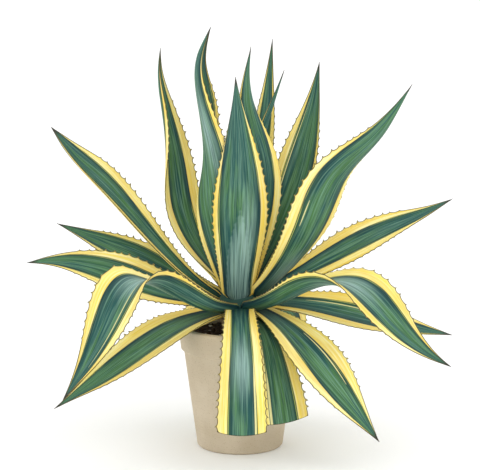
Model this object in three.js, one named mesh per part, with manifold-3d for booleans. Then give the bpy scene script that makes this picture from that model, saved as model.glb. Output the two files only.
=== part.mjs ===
// Potted century plant: a yellow-edged agave, 27 leaves on a short stem, in a plain clay pot.
// Millimetres, +Z up. The origin is the middle of the pot's underside, and the shown side faces -Y.
import * as THREE from "three";
import { mergeVertices } from "three/addons/utils/BufferGeometryUtils.js";
import Module from "manifold-3d";

// Driving dimensions
const GAP = 0.3; // between pieces that touch
const POT_HEIGHT = 290;
const POT_RIM_RADIUS = 145;
const POT_BASE_RADIUS = 102;
const POT_WALL = 11;
const RIM_BAND_HEIGHT = 58;
const RIM_BAND_STEP = 12; // the band stands out this far from the wall under it
const BAND_LIP = 3; // the band's underside rises this far and slants in by BAND_SLANT
const BAND_SLANT = 5;
const FOOT_CHAMFER = 4;
const RIM_CHAMFER = 3; // across the rim, with a drop outside and a drop inside
const RIM_DROP_OUTSIDE = 4;
const RIM_DROP_INSIDE = 5;
const FLOOR_THICKNESS = 12;
const DRAIN_HOLE_RADIUS = 8;
const DRAIN_HOLE_RING = 58;
const DRAIN_HOLES = 3;
const SOIL_BELOW_RIM = 22;
const SOIL_MOUND = 5;
const MOUND_MIDWAY = 0.7; // the share of the mound that is left halfway out to the wall
const CROWN_HEIGHT = 350; // where the midribs' points are measured from
const STEM_RADIUS = 40;
const STEM_FOOT = 150;
const STEM_EASE = 0.2; // so much slimmer than its hole in the soil
const STEM_FLARE = 3; // wider by this above the soil, over FLARE_HEIGHT
const FLARE_HEIGHT = 12;
const DOME_RADIUS = 50;
const DOME_HEIGHT = 45;
const DOME_FOOT = 15; // the dome starts this far below the crown height
const BLADE_THICKNESS = 11; // at the keel near the base
const BLADE_TAPER = 0.65; // the share of the thickness that is lost towards the tip
const KEEL_HALF_WIDTH = 18; // a blade narrower than this each way is thinner too
const KEEL_POWER = 2.2; // the higher, the squarer the section
const KEEL_INSIDE = 0.15; // the share of the thickness on the inner side of the fold
const FOLD_POWER = 0.8; // under 1 the fold is sharpest at the midrib
const EDGE_HALF_THICKNESS = 0.8;
const CLASP_LENGTH = 30; // from its base a blade widens over this length
const CLASP_SHARE = 0.3; // the share of its width that it starts with
const SPINE_LENGTH = 28;
const SPINE_RADIUS = 1.8;
const SPINE_TIP_RADIUS = 0.35;
const SPINE_FLATNESS = 0.9; // thickness of the spine by its width
const TOOTH_HEIGHT = 6.5;
const TOOTH_HALF_WIDTH = 5.5;
const TOOTH_HOOK = 2; // how far a tooth's point leans towards the leaf's tip
const TEETH_PER_MARGIN = 8;
const FIRST_TOOTH = 0.55; // size of the tooth nearest the base
const FULL_TEETH_FROM = 0.4; // share of the toothed length after which teeth have full size
const TOOTHED_FROM = 0.13;
const TOOTHED_TO = 0.8;
const TOOTHED_TO_CUT = 0.94;
const FULL_WIDTH_FOR_TEETH = 90; // narrower leaves have smaller teeth
const TRIM_ARC = 0.02; // how far a trimmed end curves back at its margins
const ROUND_STEPS = 40;
const STEM_STEPS = 20;
const DOME_STEPS = 6;
const HOLE_STEPS = 16;
const LEAF_STEPS = 12;
const MIDRIB_STEPS = 300; // for measuring a midrib's length
const FOLD_STEPS = 12; // from the midrib to a point of the blade
const TANGENT_STEP = 0.001;
const TOOTH_CLEARANCE = 0.01; // share of the length kept between the last tooth and the next row
const COLUMNS = [-0.72, 0, 0.72]; // across the blade, where -1 and 1 are its margins

const CLAY = { color: 0xd8cdbb, roughness: 0.85, metalness: 0 };
const SOIL = { color: 0x4a3a2c, roughness: 1, metalness: 0 };
const BARK = { color: 0x8a7a52, roughness: 0.9, metalness: 0 };
const BLADE = { color: 0x4f8070, roughness: 0.5, metalness: 0 };

// The leaves from the youngest out. midrib: points from the crown to the right, back and up.
// width: at the widest. facing: the compass angle from +X that the blade's outer side turns to.
// fold: how far each half rises at its margin. roll: turn of the blade about its midrib.
// cut: the share of the midrib that is left of a trimmed leaf. All angles are in degrees.
const LEAVES = [
  {
    name: "leaf_youngest", width: 34, facing: [300], fold: [40, 60, 70],
    midrib: [[0, 0, 35], [15, 5, 190], [38, 8, 355], [74, 10, 455], [103, 12, 540]],
  },
  {
    name: "leaf_upright_back", width: 64, facing: [80], fold: [25, 30, 50],
    midrib: [[5, 20, 20], [25, 45, 150], [45, 70, 300], [66, 90, 455], [77, 100, 610]],
  },
  {
    name: "leaf_upright_middle", width: 88, facing: [275, 270, 290, 310], fold: [20, 22, 40, 70],
    drawn: 0.7,
    midrib: [
      [12, -20, 15], [40, -30, 135], [61, -42, 255], [48, -48, 360], [8, -50, 475],
      [25, -50, 595],
    ],
  },
  {
    name: "leaf_upright_front", width: 128, facing: [270], fold: [20, 25, 55], base: 0.6,
    widest: 0.42, drawn: 0.6,
    midrib: [
      [-5, -30, -5], [-5, -62, 80], [1, -108, 205], [2, -138, 330], [-5, -155, 445],
      [-10, -162, 530],
    ],
  },
  {
    name: "leaf_tallest", width: 134, facing: [264, 264, 205, 160, 166],
    fold: [25, 30, 60, 68, 85], widest: 0.55, drawn: 0.5,
    midrib: [
      [-15, -20, 15], [-48, -48, 115], [-75, -68, 235], [-72, -80, 350], [-92, -85, 475],
      [-104, -85, 560], [-65, -80, 640],
    ],
  },
  {
    name: "leaf_upright_left", width: 108, facing: [165, 118, 122, 152, 155],
    fold: [25, 25, 60, 80, 85], base: 0.5, widest: 0.42,
    midrib: [
      [-20, 10, 20], [-103, 35, 105], [-150, 58, 208], [-158, 75, 325], [-178, 80, 440],
      [-195, 78, 530], [-187, 70, 590],
    ],
  },
  {
    name: "leaf_upright_right", width: 99, facing: [80], fold: [25, 25, 55],
    midrib: [
      [20, 20, 20], [68, 50, 125], [118, 80, 240], [155, 105, 370], [178, 115, 470],
      [190, 120, 555],
    ],
  },
  {
    name: "leaf_leaning_right", width: 126, facing: [300, 290], fold: [25, 25, 50], widest: 0.42,
    drawn: 0.75,
    midrib: [
      [30, -20, 10], [103, -60, 85], [171, -100, 191], [201, -130, 314], [306, -160, 389],
      [380, -175, 515],
    ],
  },
  {
    name: "leaf_leaning_left", width: 94, facing: [180], fold: [25, 40, 60], roll: [-35],
    base: 0.25, widest: 0.68, drawn: 0.25,
    midrib: [
      [-35, 0, -2], [-118, 15, 46], [-212, 30, 145], [-312, 40, 264], [-397, 45, 338],
      [-445, 45, 405],
    ],
  },
  {
    name: "leaf_spreading_right", width: 98, facing: [0], fold: [25, 25, 40], roll: [45],
    base: 0.3,
    midrib: [
      [35, 5, 10], [140, 25, 52], [250, 40, 112], [355, 50, 165], [442, 50, 199], [505, 45, 235],
    ],
  },
  {
    name: "leaf_back_middle_upper", width: 106, facing: [92], fold: [25, 30, 50],
    midrib: [[0, 30, 10], [-5, 110, 85], [-10, 200, 190], [-12, 275, 300], [-15, 330, 400]],
  },
  {
    name: "leaf_back_right_upper", width: 88, facing: [52], fold: [25, 30, 50],
    midrib: [[25, 25, 5], [80, 100, 60], [140, 190, 140], [210, 280, 230], [260, 350, 285]],
  },
  {
    name: "leaf_back_left_upper", width: 80, facing: [135], fold: [25, 30, 50],
    midrib: [[-18, 25, 5], [-66, 100, 50], [-103, 190, 125], [-130, 280, 210], [-142, 350, 285]],
  },
  {
    name: "leaf_spreading_left_upper", width: 98, facing: [170], fold: [25, 30, 40], roll: [-42],
    midrib: [[-35, 15, 0], [-160, 75, 40], [-265, 120, 85], [-355, 150, 120], [-450, 165, 160]],
  },
  {
    name: "leaf_spreading_left_lower", width: 104, facing: [180], fold: [25, 25, 45], roll: [-55],
    base: 0.32,
    midrib: [
      [-40, 5, -10], [-145, 20, 5], [-245, 30, 40], [-350, 30, 75], [-435, 25, 90],
      [-505, 20, 85],
    ],
  },
  {
    name: "leaf_back_right_lower", width: 100, facing: [40], fold: [25, 25, 45],
    midrib: [[35, 20, -10], [130, 100, 35], [235, 190, 80], [335, 280, 110], [415, 340, 135]],
  },
  {
    name: "leaf_back_left_lower", width: 100, facing: [140], fold: [25, 25, 45],
    midrib: [[-30, 25, -10], [-145, 110, 20], [-245, 200, 55], [-335, 280, 85], [-390, 340, 100]],
  },
  {
    name: "leaf_back_middle_lower", width: 112, facing: [85], fold: [25, 25, 45],
    midrib: [[5, 35, -10], [15, 150, 10], [25, 275, 40], [40, 390, 40], [50, 480, -5]],
  },
  {
    name: "leaf_arching_left", width: 122, facing: [235, 235, 258, 262],
    fold: [75, 75, 25, 35, 60], steps: 18,
    midrib: [
      [-2, -34, -17], [-75, -105, -6], [-145, -165, 45], [-210, -210, 90], [-258, -240, 75],
      [-294, -250, -10], [-338, -245, -100], [-395, -235, -185],
    ],
  },
  {
    name: "leaf_arching_right", width: 122, facing: [305, 305, 285, 280],
    fold: [75, 75, 25, 30, 60], steps: 18,
    midrib: [
      [2, -36, -17], [85, -105, 10], [160, -160, 66], [232, -200, 82], [295, -230, 48],
      [356, -240, -28], [418, -238, -80], [470, -230, -110],
    ],
  },
  {
    name: "leaf_level_right", width: 118, facing: [345], fold: [25, 25, 40], roll: [28],
    midrib: [[35, -5, -5], [140, -25, -6], [245, -45, -24], [375, -60, -56], [495, -65, -72]],
  },
  {
    name: "leaf_drooping_left", width: 136, facing: [218, 248, 255], fold: [25, 20, 55],
    base: 0.66, widest: 0.34, drawn: 0.65,
    midrib: [
      [-25, -20, -25], [-115, -95, -32], [-200, -160, -72], [-295, -195, -132],
      [-420, -195, -215],
    ],
  },
  {
    name: "leaf_trimmed_front", width: 112, facing: [270], fold: [25, 20, 15], base: 0.6,
    widest: 0.9, cut: 0.815,
    midrib: [[0, -30, -12], [0, -150, -18], [4, -235, -70], [4, -275, -165], [4, -290, -345]],
  },
  {
    name: "leaf_drooping_right", width: 134, facing: [305, 290], fold: [25, 20, 40],
    midrib: [
      [25, -20, -12], [100, -125, -32], [180, -220, -115], [250, -250, -200], [310, -255, -275],
    ],
  },
  {
    name: "leaf_trimmed_right", width: 112, facing: [285], fold: [25, 20, 15], base: 0.45,
    widest: 0.8, cut: 0.76,
    midrib: [
      [24, -28, -24], [42, -98, -31], [67, -165, -58], [85, -185, -142], [100, -190, -240],
      [115, -195, -355],
    ],
  },
  {
    name: "leaf_back_hanging_left", width: 112, facing: [110], fold: [25, 20, 40],
    midrib: [
      [-10, 35, -15], [-55, 150, -30], [-95, 240, -80], [-115, 290, -170], [-120, 300, -265],
    ],
  },
  {
    name: "leaf_back_hanging_right", width: 112, facing: [66], fold: [25, 20, 40],
    midrib: [[20, 30, -15], [75, 145, -30], [115, 240, -75], [130, 300, -160], [130, 310, -255]],
  },
];

const wasm = await Module();
wasm.setup();

function smoothstep(x) {
  const s = Math.min(Math.max(x, 0), 1);
  return s * s * (3 - 2 * s);
}

// A uniform cubic B-spline that starts on the first row of numbers and ends on the last, at share s.
function splineAt(rows, s) {
  const reflect = (end, next) => end.map((value, k) => 2 * value - next[k]);
  const all = [reflect(rows[0], rows[1]), ...rows, reflect(rows.at(-1), rows.at(-2))];
  const place = s * (rows.length - 1);
  const i = Math.min(Math.floor(place), rows.length - 2);
  const f = place - i;
  const weights = [
    (1 - f) ** 3, 3 * f ** 3 - 6 * f ** 2 + 4, -3 * f ** 3 + 3 * f ** 2 + 3 * f + 1, f ** 3,
  ];
  const blend = (k) => weights.reduce((sum, weight, n) => sum + (weight * all[i + n][k]) / 6, 0);
  return rows[0].map((_, k) => blend(k));
}

// A value that changes smoothly along the leaf, from numbers given at even steps of t.
function along(values, t) {
  if (values.length === 1) return values[0];
  if (values.length === 2) return values[0] + (values[1] - values[0]) * smoothstep(t);
  return splineAt(values.map((value) => [value]), t)[0];
}

// The midrib as a row of points with the length run up to each.
function measureMidrib(midrib) {
  const points = [];
  const run = [0];
  for (let n = 0; n <= MIDRIB_STEPS; n++) {
    const [x, y, z] = splineAt(midrib, n / MIDRIB_STEPS);
    points.push(new THREE.Vector3(x, y, z + CROWN_HEIGHT));
    if (n > 0) run.push(run[n - 1] + points[n].distanceTo(points[n - 1]));
  }
  return { points, run, length: run.at(-1) };
}

// The point of a measured midrib at the share t of its length.
function midribAt(rib, t) {
  const target = t * rib.length;
  let n = rib.run.findIndex((length) => length >= target);
  n = n < 1 ? 1 : n;
  const share = (target - rib.run[n - 1]) / (rib.run[n] - rib.run[n - 1]);
  return rib.points[n - 1].clone().lerp(rib.points[n], share);
}

// Share of the full width at t: it swells from the base to the widest place, then draws out to the tip.
function widthShare(t, { base = 0.42, widest = 0.5, drawn = 0.55 }) {
  if (t < widest) return base + (1 - base) * smoothstep(t / widest);
  const e = (t - widest) / (1 - widest);
  return (1 - drawn) * (1 - e * e) + drawn * (1 - e) ** 2 * (1 + 2 * e);
}

// The blade's section at t: its middle, its axes, its half width and how far its halves fold.
function sectionAt(leaf, t) {
  const { rib } = leaf;
  const before = midribAt(rib, Math.max(t - TANGENT_STEP, 0));
  const tangent = midribAt(rib, Math.min(t + TANGENT_STEP, 1)).sub(before).normalize();
  const heading = THREE.MathUtils.degToRad(along(leaf.facing, t));
  const across = new THREE.Vector3(-Math.sin(heading), Math.cos(heading), 0);
  across.addScaledVector(tangent, -across.dot(tangent)).normalize();
  across.applyAxisAngle(tangent, THREE.MathUtils.degToRad(along(leaf.roll ?? [0], t)));
  const inner = tangent.clone().cross(across);
  const spine = THREE.MathUtils.clamp(((1 - t) * rib.length) / SPINE_LENGTH, 0, 1);
  const clasp = CLASP_SHARE + (1 - CLASP_SHARE) * smoothstep((t * rib.length) / CLASP_LENGTH);
  const halfWidth = Math.max(
    (leaf.width / 2) * widthShare(t, leaf) * clasp,
    SPINE_TIP_RADIUS + (SPINE_RADIUS - SPINE_TIP_RADIUS) * spine,
  );
  const fold = THREE.MathUtils.degToRad(along(leaf.fold, t));
  return { t, middle: midribAt(rib, t), across, inner, halfWidth, fold };
}

// A direction in the section, turned from across towards the inner side.
function turned(section, angle) {
  const { across, inner } = section;
  return across.clone().multiplyScalar(Math.cos(angle)).addScaledVector(inner, Math.sin(angle));
}

// A point of the blade at u across it: on its inner side for side 1 and its outer side for side -1.
// grow moves the surface outwards. out is the reach of a tooth past the margin.
function bladePoint(section, u, side, grow, out = 0) {
  const { t, halfWidth, fold } = section;
  const sign = Math.sign(u) || 1;
  const slopeAt = (share) => sign * fold * (share * Math.abs(u)) ** FOLD_POWER;
  const point = section.middle.clone();
  for (let n = 0; n < FOLD_STEPS; n++) {
    const slope = slopeAt((n + 0.5) / FOLD_STEPS);
    point.addScaledVector(turned(section, slope), (halfWidth * u) / FOLD_STEPS);
  }
  const reach = out + (Math.abs(u) === 1 ? grow : 0);
  point.addScaledVector(turned(section, slopeAt(1)), sign * reach);
  const normal = turned(section, slopeAt(1) + Math.PI / 2);
  const slimness = (1 - BLADE_TAPER * t) * Math.min(1, halfWidth / KEEL_HALF_WIDTH);
  const keel = BLADE_THICKNESS * slimness * (1 - Math.abs(u) ** KEEL_POWER);
  const edge = Math.min(EDGE_HALF_THICKNESS, halfWidth * SPINE_FLATNESS) * (out > 0 ? 0.5 : 1);
  const keelShare = side > 0 ? KEEL_INSIDE : 1 - KEEL_INSIDE;
  return point.addScaledVector(normal, side * (edge + grow + keel * keelShare));
}

// The shares of the length where the blade has a row of points, with the spine's root as one of them.
function bladeRows(leaf) {
  const steps = leaf.steps ?? LEAF_STEPS;
  const spineRoot = 1 - SPINE_LENGTH / leaf.rib.length;
  const rows = Array.from({ length: steps + 1 }, (_, n) => (n / steps) * (leaf.cut ? 1 : spineRoot));
  return leaf.cut ? rows : [...rows, 1];
}

// The margin as places along the leaf. A tooth stands between a place that has one and the place before.
function marginPlaces(leaf) {
  const length = leaf.rib.length * (leaf.cut ?? 1);
  const toothedTo = leaf.cut ? TOOTHED_TO_CUT : TOOTHED_TO;
  const scale = Math.min(1, leaf.width / FULL_WIDTH_FOR_TEETH);
  const places = [{ t: 0 }];
  for (let n = 0; n < TEETH_PER_MARGIN; n++) {
    const share = n / (TEETH_PER_MARGIN - 1);
    const t = TOOTHED_FROM + (toothedTo - TOOTHED_FROM) * share;
    const size = scale * (FIRST_TOOTH + (1 - FIRST_TOOTH) * smoothstep(share / FULL_TEETH_FROM));
    const halfRoot = (TOOTH_HALF_WIDTH * size) / length;
    const point = { t: t + (TOOTH_HOOK * size) / length, out: TOOTH_HEIGHT * size };
    places.push({ t: t - halfRoot }, { t: t + halfRoot, tooth: point });
  }
  const smooth = bladeRows(leaf).filter((t) => t > places.at(-1).t + TOOTH_CLEARANCE);
  return [...places, ...smooth.map((t) => ({ t }))];
}

// A closed blade: rows of points on both sides, a toothed margin each way, and both ends capped.
function bladeGeometry(leaf, grow = 0) {
  const vertices = [];
  const index = [];
  const add = (t, u, side, out) => {
    const share = leaf.cut ? t * (leaf.cut - TRIM_ARC * u * u) : t;
    const point = bladePoint(sectionAt(leaf, share), u, side, grow, out);
    return vertices.push(point.x, point.y, point.z) / 3 - 1;
  };
  const triangle = (a, b, c, side) => (side > 0 ? index.push(a, b, c) : index.push(a, c, b));

  // Joins two rails of points by triangles, going on along the one whose next point comes first.
  const stitch = (left, right, side) => {
    let a = 0;
    let b = 0;
    while (a < left.length - 1 || b < right.length - 1) {
      const nextLeft = left[a + 1]?.t ?? Infinity;
      const nextRight = right[b + 1]?.t ?? Infinity;
      if (nextLeft <= nextRight) {
        triangle(left[a].id, left[a + 1].id, right[b].id, side);
        a += 1;
      } else {
        triangle(left[a].id, right[b + 1].id, right[b].id, side);
        b += 1;
      }
    }
  };

  const rows = bladeRows(leaf);
  const places = marginPlaces(leaf);
  const marginRail = (u, side) => places.map(({ t, tooth }) => {
    const id = add(t, u, side);
    return tooth ? { t, id, tip: add(tooth.t, u, side, tooth.out) } : { t, id };
  });
  const rails = [1, -1].map((side) => [
    marginRail(-1, side),
    ...COLUMNS.map((u) => rows.map((t) => ({ t, id: add(t, u, side) }))),
    marginRail(1, side),
  ]);
  rails.forEach((face, n) => {
    const side = n === 0 ? 1 : -1;
    for (let k = 0; k < face.length - 1; k++) stitch(face[k], face[k + 1], side);
    const toothFace = (rail, u) => rail.forEach(({ id, tip }, k) => {
      if (tip !== undefined) triangle(rail[k - 1].id, id, tip, side * u);
    });
    toothFace(face[0], -1);
    toothFace(face.at(-1), 1);
  });

  // The edges between the two faces: both margins, round each tooth by its tip, then both ends.
  const [inner, outer] = rails;
  const numbered = (ids) => ids.map((id, n) => ({ t: n, id }));
  const withTips = ({ id, tip }) => (tip === undefined ? [id] : [tip, id]);
  const roundTeeth = (rail) => numbered(rail.flatMap(withTips));
  const ends = (face, n) => numbered(face.map((rail) => rail.at(n).id));
  stitch(roundTeeth(inner.at(-1)), roundTeeth(outer.at(-1)), 1);
  stitch(roundTeeth(inner[0]), roundTeeth(outer[0]), -1);
  stitch(ends(inner, 0), ends(outer, 0), 1);
  stitch(ends(inner, -1), ends(outer, -1), -1);

  const geometry = new THREE.BufferGeometry();
  geometry.setAttribute("position", new THREE.Float32BufferAttribute(vertices, 3));
  geometry.setIndex(index);
  return geometry;
}

// A closed three.js geometry as a solid that can be cut.
function toSolid(source) {
  const bare = source.clone();
  bare.deleteAttribute("normal");
  bare.deleteAttribute("uv");
  const merged = mergeVertices(bare, 1e-4);
  return new wasm.Manifold(new wasm.Mesh({
    numProp: 3,
    vertProperties: new Float32Array(merged.attributes.position.array),
    triVerts: new Uint32Array(merged.index.array),
  }));
}

// The largest body of a solid, as a three.js geometry.
function toGeometry(solid) {
  const bodies = solid.decompose().sort((a, b) => b.volume() - a.volume());
  const mesh = bodies[0].getMesh();
  const geometry = new THREE.BufferGeometry();
  geometry.setAttribute("position", new THREE.Float32BufferAttribute(mesh.vertProperties, 3));
  geometry.setIndex(Array.from(mesh.triVerts));
  geometry.computeVertexNormals();
  return geometry;
}

// A solid turned about the Z axis from an outline of [radius, height] pairs.
function turnedGeometry(outline, steps) {
  const points = outline.map(([radius, height]) => new THREE.Vector2(radius, height));
  return new THREE.LatheGeometry(points, steps).rotateX(Math.PI / 2);
}

function named(name, geometry, look) {
  const mesh = new THREE.Mesh(geometry, new THREE.MeshStandardMaterial(look));
  mesh.name = name;
  return mesh;
}

// Radius of the pot's outside under the band, at a height.
function potRadius(height) {
  const top = POT_RIM_RADIUS - RIM_BAND_STEP;
  return POT_BASE_RADIUS + (top - POT_BASE_RADIUS) * (height / (POT_HEIGHT - RIM_BAND_HEIGHT));
}

function potGeometry() {
  const bandFoot = POT_HEIGHT - RIM_BAND_HEIGHT;
  const outline = [
    [0, 0],
    [POT_BASE_RADIUS - FOOT_CHAMFER, 0],
    [POT_BASE_RADIUS, FOOT_CHAMFER],
    [potRadius(bandFoot), bandFoot],
    [POT_RIM_RADIUS - BAND_SLANT, bandFoot + BAND_LIP],
    [POT_RIM_RADIUS, POT_HEIGHT - RIM_DROP_OUTSIDE],
    [POT_RIM_RADIUS - RIM_CHAMFER, POT_HEIGHT],
    [POT_RIM_RADIUS - POT_WALL, POT_HEIGHT],
    [POT_RIM_RADIUS - POT_WALL - RIM_CHAMFER, POT_HEIGHT - RIM_DROP_INSIDE],
    [potRadius(FLOOR_THICKNESS) - POT_WALL, FLOOR_THICKNESS],
    [0, FLOOR_THICKNESS],
  ];
  let solid = toSolid(turnedGeometry(outline, ROUND_STEPS));
  for (let n = 0; n < DRAIN_HOLES; n++) {
    const angle = (n / DRAIN_HOLES) * 2 * Math.PI + Math.PI / 2;
    const depth = FLOOR_THICKNESS * 3;
    const hole = new THREE.CylinderGeometry(DRAIN_HOLE_RADIUS, DRAIN_HOLE_RADIUS, depth, HOLE_STEPS);
    hole.rotateX(Math.PI / 2);
    hole.translate(DRAIN_HOLE_RING * Math.cos(angle), DRAIN_HOLE_RING * Math.sin(angle), 0);
    solid = solid.subtract(toSolid(hole));
  }
  return toGeometry(solid);
}

// The inside of the pot is one straight slope, so the soil's side follows it a gap further in.
function soilGeometry() {
  const innerTop = POT_RIM_RADIUS - POT_WALL - RIM_CHAMFER;
  const innerFloor = potRadius(FLOOR_THICKNESS) - POT_WALL;
  const slope = (innerTop - innerFloor) / (POT_HEIGHT - RIM_DROP_INSIDE - FLOOR_THICKNESS);
  const top = POT_HEIGHT - SOIL_BELOW_RIM;
  const side = (height) => innerFloor + slope * (height - FLOOR_THICKNESS) - GAP * 1.5;
  const hole = STEM_RADIUS + GAP;
  const outline = [
    [0, FLOOR_THICKNESS + GAP],
    [side(FLOOR_THICKNESS + GAP), FLOOR_THICKNESS + GAP],
    [side(top), top],
    [(hole + side(top)) / 2, top + SOIL_MOUND * MOUND_MIDWAY],
    [hole, top + SOIL_MOUND],
    [hole, STEM_FOOT - GAP],
    [0, STEM_FOOT - GAP],
  ];
  return turnedGeometry(outline, ROUND_STEPS);
}

// The stem: straight in the soil, a little wider above it, and domed where the leaves grow.
function stemGeometry(grow = 0) {
  const soilTop = POT_HEIGHT - SOIL_BELOW_RIM + SOIL_MOUND;
  const outline = [
    [0, STEM_FOOT - grow],
    [STEM_RADIUS - STEM_EASE + grow, STEM_FOOT - grow],
    [STEM_RADIUS - STEM_EASE + grow, soilTop],
    [STEM_RADIUS + STEM_FLARE + grow, soilTop + FLARE_HEIGHT],
  ];
  for (let n = 0; n <= DOME_STEPS; n++) {
    const angle = (n / DOME_STEPS) * (Math.PI / 2);
    const height = CROWN_HEIGHT - DOME_FOOT + (DOME_HEIGHT + DOME_FOOT + grow) * Math.sin(angle);
    outline.push([n === DOME_STEPS ? 0 : (DOME_RADIUS + grow) * Math.cos(angle), height]);
  }
  return turnedGeometry(outline, STEM_STEPS);
}

const plant = new THREE.Group();
plant.add(named("pot", potGeometry(), CLAY));
plant.add(named("soil", soilGeometry(), SOIL));
plant.add(named("stem", stemGeometry(), BARK));

// Each leaf is cut where the stem and the younger leaves already are, with the gap kept all round.
const taken = [toSolid(stemGeometry(GAP))];
for (const leaf of LEAVES) {
  leaf.rib = measureMidrib(leaf.midrib);
  let solid = toSolid(bladeGeometry(leaf));
  for (const other of taken) solid = solid.subtract(other);
  plant.add(named(leaf.name, toGeometry(solid), BLADE));
  taken.push(toSolid(bladeGeometry(leaf, GAP)));
}

export default plant;
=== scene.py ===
import math

import bpy
import numpy as np
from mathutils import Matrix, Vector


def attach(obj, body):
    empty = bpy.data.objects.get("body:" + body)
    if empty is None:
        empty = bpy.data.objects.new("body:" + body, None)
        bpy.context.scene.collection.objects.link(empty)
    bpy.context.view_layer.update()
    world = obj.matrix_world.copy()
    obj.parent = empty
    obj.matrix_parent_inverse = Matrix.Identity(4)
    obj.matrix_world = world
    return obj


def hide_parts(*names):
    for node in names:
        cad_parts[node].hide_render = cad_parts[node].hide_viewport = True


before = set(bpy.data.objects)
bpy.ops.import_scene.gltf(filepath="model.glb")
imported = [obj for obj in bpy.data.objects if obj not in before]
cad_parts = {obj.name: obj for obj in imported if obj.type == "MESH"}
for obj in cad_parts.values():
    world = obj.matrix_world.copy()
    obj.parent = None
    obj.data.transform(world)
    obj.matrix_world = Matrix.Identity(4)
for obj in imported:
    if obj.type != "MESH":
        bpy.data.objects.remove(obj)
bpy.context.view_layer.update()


# The pot: a plain flower pot of buff clay, pressed in a mould and fired without a glaze. A band round
# the rim stiffens it, and three holes in its floor let water out. It stands loose and holds the soil.
POT_HEIGHT = 0.290
POT_RIM_RADIUS = 0.145
POT_BASE_RADIUS = 0.102
POT_WALL = 0.011
POT_FLOOR = 0.012
POT_CHAMFER = 0.004
RIM_BAND_HEIGHT = 0.058
RIM_BAND_STEP = 0.012
RIM_BAND_DRAFT = 0.005
RIM_BAND_UNDERSIDE = 0.003
LIP_BEVEL = 0.003
LIP_DEPTH = 0.005
CORNER_RADIUS = 0.0025
DRAIN_HOLES = 3
DRAIN_HOLE_RADIUS = 0.008
DRAIN_HOLE_RING = 0.058
DRILL_FROM, DRILL_TO = -0.01, 0.03
POT_TURNS, DRILL_TURNS = 192, 32
DAMP_HEIGHT = 0.09
CLAY_CLOUDS = 14.0
CLAY_GRIT = 260.0
CLAY_RINGS = 42.0
CLAY_PORES = 900.0
CLAY_LIGHT = "#d9cdb8"
CLAY_DARK = "#b9a88c"
CLAY_SPECK = "#8d7454"
CLAY_DAMP = "#a08f74"


def pot_radius(height):
    """Outside radius under the band: a straight slope from the base to a step below the rim."""
    top = POT_RIM_RADIUS - RIM_BAND_STEP
    return POT_BASE_RADIUS + (top - POT_BASE_RADIUS) * height / (POT_HEIGHT - RIM_BAND_HEIGHT)


def softened(outline, radius, steps=6):
    """Rounds each corner of an outline: from a radius before it to a radius after it the line follows
    (1-s)^2 start + 2s(1-s) corner + s^2 end. A corner takes at most half of each side it joins."""
    corner = outline[1:-1]
    back, ahead = outline[:-2] - corner, outline[2:] - corner
    back_length = np.linalg.norm(back, axis=1, keepdims=True)
    ahead_length = np.linalg.norm(ahead, axis=1, keepdims=True)
    start = corner + back / back_length * np.minimum(radius, back_length * 0.5)
    end = corner + ahead / ahead_length * np.minimum(radius, ahead_length * 0.5)
    s = np.linspace(0, 1, steps)[:, None, None]
    curve = (1 - s) ** 2 * start + 2 * s * (1 - s) * corner + s**2 * end
    rounded = curve.transpose(1, 0, 2).reshape(-1, 2)
    return np.vstack([outline[:1], rounded, outline[-1:]])


def turned_points(radius, height, turns):
    """Points at the radii and heights turned about the Z axis: radius cos a, radius sin a and height,
    for even angles a, with all radii of one angle in a row."""
    angle = np.arange(turns) / turns * 2 * np.pi
    x = np.cos(angle)[:, None] * radius
    y = np.sin(angle)[:, None] * radius
    return np.stack([x, y, np.broadcast_to(height, x.shape)], axis=2).reshape(-1, 3)


def turned_shape(outline, turns):
    """Vertices and faces of an outline of (radius, height) rows turned about the Z axis. Both ends lie on
    the axis, so each end is one vertex that a ring of triangles closes."""
    rings = turned_points(outline[1:-1, 0], outline[1:-1, 1], turns)
    poles = np.array([[0, 0, outline[0, 1]], [0, 0, outline[-1, 1]]])
    rows = len(outline) - 2
    here = np.arange(turns)[:, None] * rows + np.arange(rows)
    on = np.roll(here, -1, axis=0)
    quads = np.stack([here[:, :-1], on[:, :-1], on[:, 1:], here[:, 1:]], axis=2).reshape(-1, 4)
    first, last = np.full(turns, turns * rows), np.full(turns, turns * rows + 1)
    low = np.stack([first, on[:, 0], here[:, 0]], axis=1)
    high = np.stack([last, here[:, -1], on[:, -1]], axis=1)
    return np.vstack([rings, poles]), quads.tolist() + low.tolist() + high.tolist()


def add_piece(name, vertices, faces, material, values=None):
    """A smooth mesh object at the origin from arrays, with one named number per vertex for each value."""
    mesh = bpy.data.meshes.new(name)
    mesh.from_pydata(vertices, [], faces)
    for key, numbers in (values or {}).items():
        layer = mesh.attributes.new(key, "FLOAT", "POINT")
        layer.data.foreach_set("value", np.asarray(numbers, np.float32).ravel())
    mesh.materials.append(material)
    mesh.shade_smooth()
    piece = bpy.data.objects.new(name, mesh)
    bpy.context.scene.collection.objects.link(piece)
    return piece


def linear(colour):
    """An sRGB hex colour as linear red, green, blue and an alpha of 1."""
    parts = np.array([int(colour[k : k + 2], 16) for k in (1, 3, 5)]) / 255
    parts = np.where(parts <= 0.04045, parts / 12.92, ((parts + 0.055) / 1.055) ** 2.4)
    return (*parts.tolist(), 1.0)


def add_node(tree, kind, inputs=None, **settings):
    """Adds a node, sets its properties, then links each input that is a socket and sets the others."""
    node = tree.nodes.new(kind)
    for key, value in settings.items():
        setattr(node, key, value)
    for key, value in (inputs or {}).items():
        if isinstance(value, bpy.types.NodeSocket):
            tree.links.new(value, node.inputs[key])
        else:
            node.inputs[key].default_value = value
    return node


def new_material(name):
    """An empty material with its output node. Gives the material, its tree and the output."""
    material = bpy.data.materials.new(name)
    material.use_nodes = True
    tree = material.node_tree
    tree.nodes.clear()
    return material, tree, tree.nodes.new("ShaderNodeOutputMaterial")


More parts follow.
